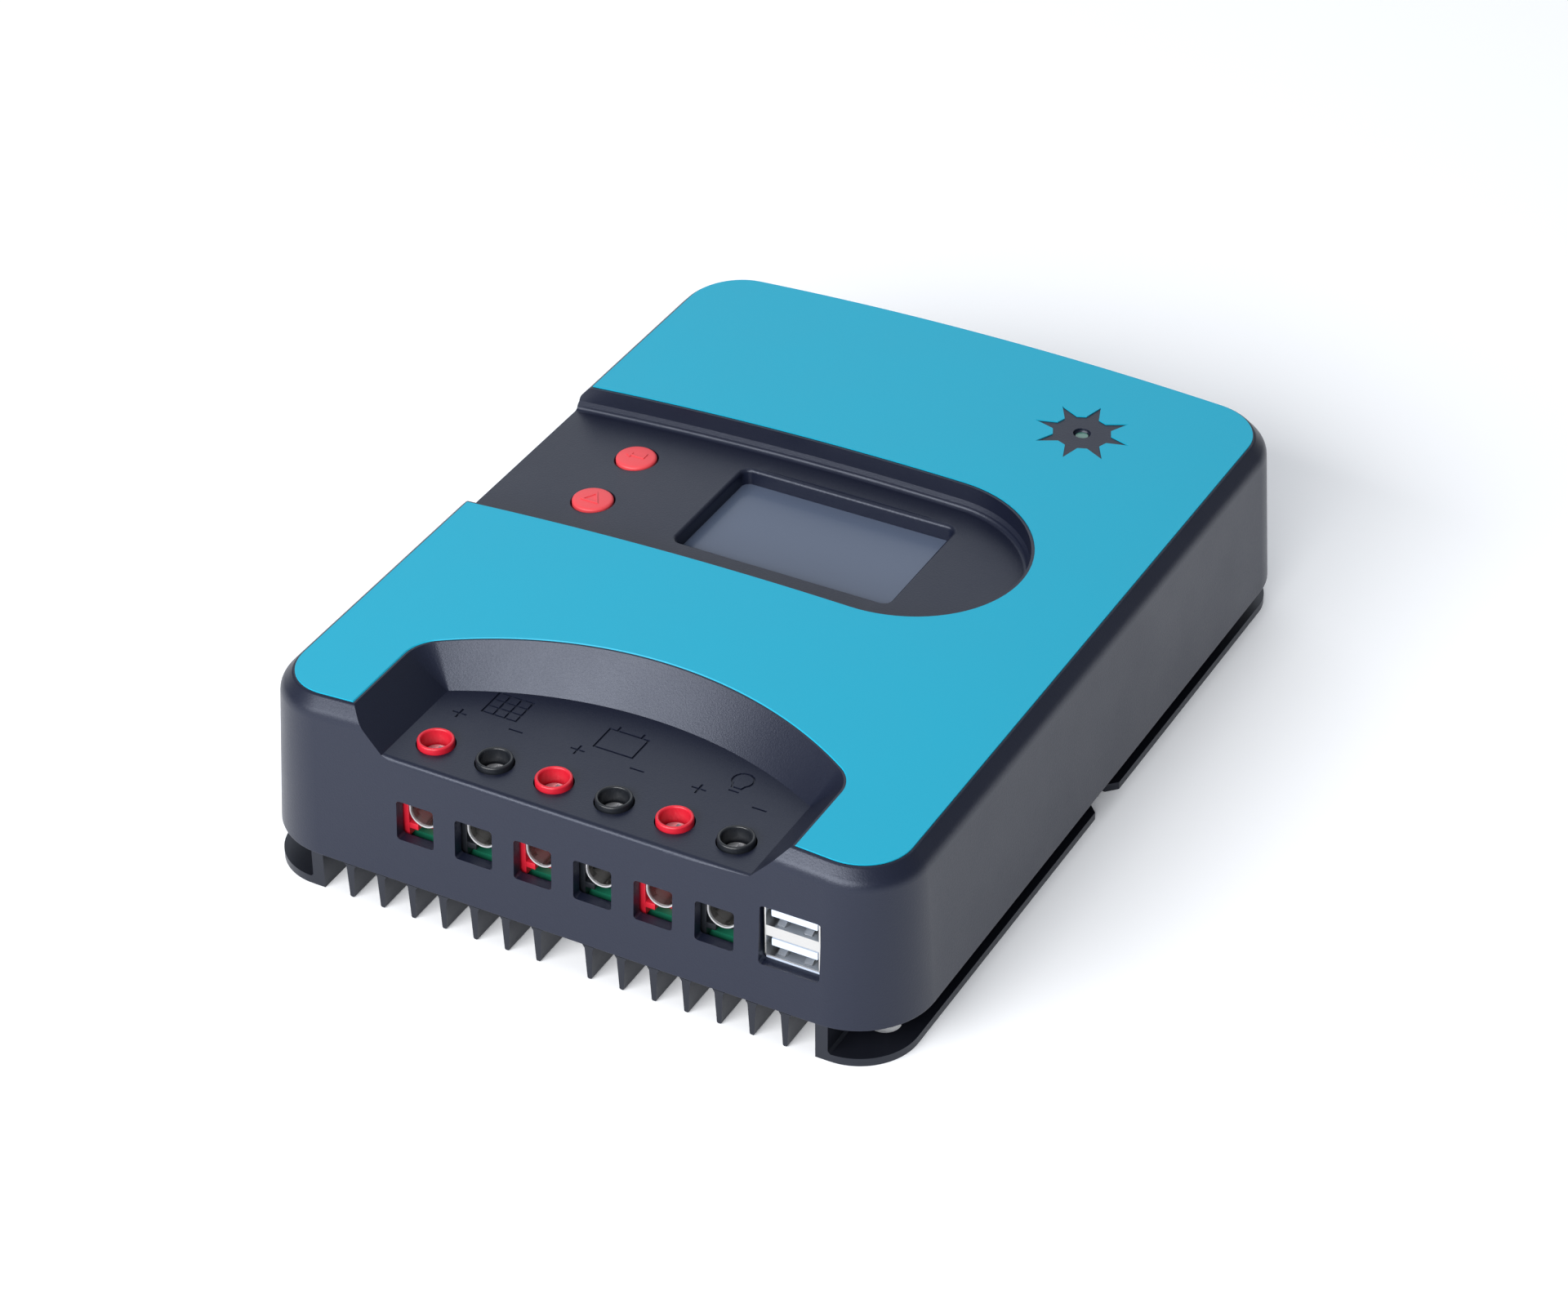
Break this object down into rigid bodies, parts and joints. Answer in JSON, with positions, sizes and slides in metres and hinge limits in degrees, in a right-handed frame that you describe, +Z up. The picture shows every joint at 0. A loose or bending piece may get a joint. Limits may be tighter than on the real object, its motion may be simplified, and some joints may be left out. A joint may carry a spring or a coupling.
{
  "type": "solar charge controller",
  "caption": "Arched plastic solar charge controller on a finned heat sink, with a recessed display, push buttons, a row of cable clamps and a stacked USB socket.",
  "frame": {"origin": "centre of the outline, on the mounting plane under the flanges", "axes": "+Z up from the mounting plane through the cover, +Y from the terminal end to the far end, +X to the right seen from the terminal end"},
  "size_m": [0.1616, 0.2104, 0.0516],
  "materials": {
    "cover_plastic": "fine texture",
    "label_teal": "satin film",
    "sink_alu": "dark anodised",
    "pcb": "solder mask",
    "tin": "nickel plate",
    "window": "clear",
    "pipe": "translucent",
    "button_red": "soft",
    "black_plastic": "moulded",
    "white_plastic": "moulded",
    "gold": "plated",
    "screw_steel": "zinc",
    "core_yellow": "coated",
    "copper": "enamelled",
    "can_blue": "sleeve",
    "pad": "soft",
    "housing_red": "moulded",
    "housing_black": "moulded"
  },
  "bodies": {
    "controller": {"top_cover": "cover_plastic", "front_label": "label_teal", "heat_sink": "sink_alu", "main_board": "pcb", "display_board": "pcb", "lcd_module": "tin", "lcd_window": "window", "light_pipe": "pipe", "status_led": "pipe", "switch_bodies": "black_plastic", "usb_shell": "tin", "usb_insulator": "white_plastic", "usb_contacts": "gold", "cover_screws": "screw_steel", "board_spacers": "gold", "board_screws": "screw_steel", "display_screws": "screw_steel", "inductor_cores": "core_yellow", "inductor_windings": "copper", "input_capacitors": "can_blue", "output_capacitors": "can_blue", "power_transistors": "black_plastic", "thermal_pad": "pad", "transistor_screws": "screw_steel", "current_shunt": "copper", "fuses": "core_yellow", "control_chip": "black_plastic", "driver_chips": "black_plastic", "board_header": "black_plastic", "display_socket": "black_plastic", "terminal_housing_1": "housing_red", "terminal_bar_1": "tin", "terminal_housing_2": "housing_black", "terminal_bar_2": "tin", "terminal_housing_3": "housing_red", "terminal_bar_3": "tin", "terminal_housing_4": "housing_black", "terminal_bar_4": "tin", "terminal_housing_5": "housing_red", "terminal_bar_5": "tin", "terminal_housing_6": "housing_black", "terminal_bar_6": "tin"},
    "screw_1": {"terminal_screw_1": "tin"},
    "screw_2": {"terminal_screw_2": "tin"},
    "screw_3": {"terminal_screw_3": "tin"},
    "screw_4": {"terminal_screw_4": "tin"},
    "screw_5": {"terminal_screw_5": "tin"},
    "screw_6": {"terminal_screw_6": "tin"},
    "cage_1": {"terminal_cage_1": "tin"},
    "cage_2": {"terminal_cage_2": "tin"},
    "cage_3": {"terminal_cage_3": "tin"},
    "cage_4": {"terminal_cage_4": "tin"},
    "cage_5": {"terminal_cage_5": "tin"},
    "cage_6": {"terminal_cage_6": "tin"},
    "enter_button": {"button_enter": "button_red", "plunger_enter": "black_plastic"},
    "up_button": {"button_up": "button_red", "plunger_up": "black_plastic"}
  },
  "joints": [
    {"name": "screw_turn_1", "type": "hinge", "parent": "controller", "child": "screw_1", "pos_m": [-0.03705, -0.094, 0.035], "axis": [0, 0, -1], "range_deg": [0, 1440]},
    {"name": "cage_lift_1", "type": "slide", "parent": "controller", "child": "cage_1", "axis": [0, 0, 1], "range_m": [0, 0.0028]},
    {"name": "screw_turn_2", "type": "hinge", "parent": "controller", "child": "screw_2", "pos_m": [-0.0222, -0.094, 0.035], "axis": [0, 0, -1], "range_deg": [0, 1440]},
    {"name": "cage_lift_2", "type": "slide", "parent": "controller", "child": "cage_2", "axis": [0, 0, 1], "range_m": [0, 0.0028]},
    {"name": "screw_turn_3", "type": "hinge", "parent": "controller", "child": "screw_3", "pos_m": [-0.00735, -0.094, 0.035], "axis": [0, 0, -1], "range_deg": [0, 1440]},
    {"name": "cage_lift_3", "type": "slide", "parent": "controller", "child": "cage_3", "axis": [0, 0, 1], "range_m": [0, 0.0028]},
    {"name": "screw_turn_4", "type": "hinge", "parent": "controller", "child": "screw_4", "pos_m": [0.0075, -0.094, 0.035], "axis": [0, 0, -1], "range_deg": [0, 1440]},
    {"name": "cage_lift_4", "type": "slide", "parent": "controller", "child": "cage_4", "axis": [0, 0, 1], "range_m": [0, 0.0028]},
    {"name": "screw_turn_5", "type": "hinge", "parent": "controller", "child": "screw_5", "pos_m": [0.02235, -0.094, 0.035], "axis": [0, 0, -1], "range_deg": [0, 1440]},
    {"name": "cage_lift_5", "type": "slide", "parent": "controller", "child": "cage_5", "axis": [0, 0, 1], "range_m": [0, 0.0028]},
    {"name": "screw_turn_6", "type": "hinge", "parent": "controller", "child": "screw_6", "pos_m": [0.0372, -0.094, 0.035], "axis": [0, 0, -1], "range_deg": [0, 1440]},
    {"name": "cage_lift_6", "type": "slide", "parent": "controller", "child": "cage_6", "axis": [0, 0, 1], "range_m": [0, 0.0028]},
    {"name": "enter_press", "type": "slide", "parent": "controller", "child": "enter_button", "axis": [0, 0, -1], "range_m": [0, 0.0003], "stiffness_N_per_m": 800},
    {"name": "up_press", "type": "slide", "parent": "controller", "child": "up_button", "axis": [0, 0, -1], "range_m": [0, 0.0003], "stiffness_N_per_m": 800}
  ],
  "couplings": [
    {"joint": "screw_turn_1", "follows": "cage_lift_1", "rad_per_m": 8976},
    {"joint": "screw_turn_2", "follows": "cage_lift_2", "rad_per_m": 8976},
    {"joint": "screw_turn_3", "follows": "cage_lift_3", "rad_per_m": 8976},
    {"joint": "screw_turn_4", "follows": "cage_lift_4", "rad_per_m": 8976},
    {"joint": "screw_turn_5", "follows": "cage_lift_5", "rad_per_m": 8976},
    {"joint": "screw_turn_6", "follows": "cage_lift_6", "rad_per_m": 8976}
  ]
}
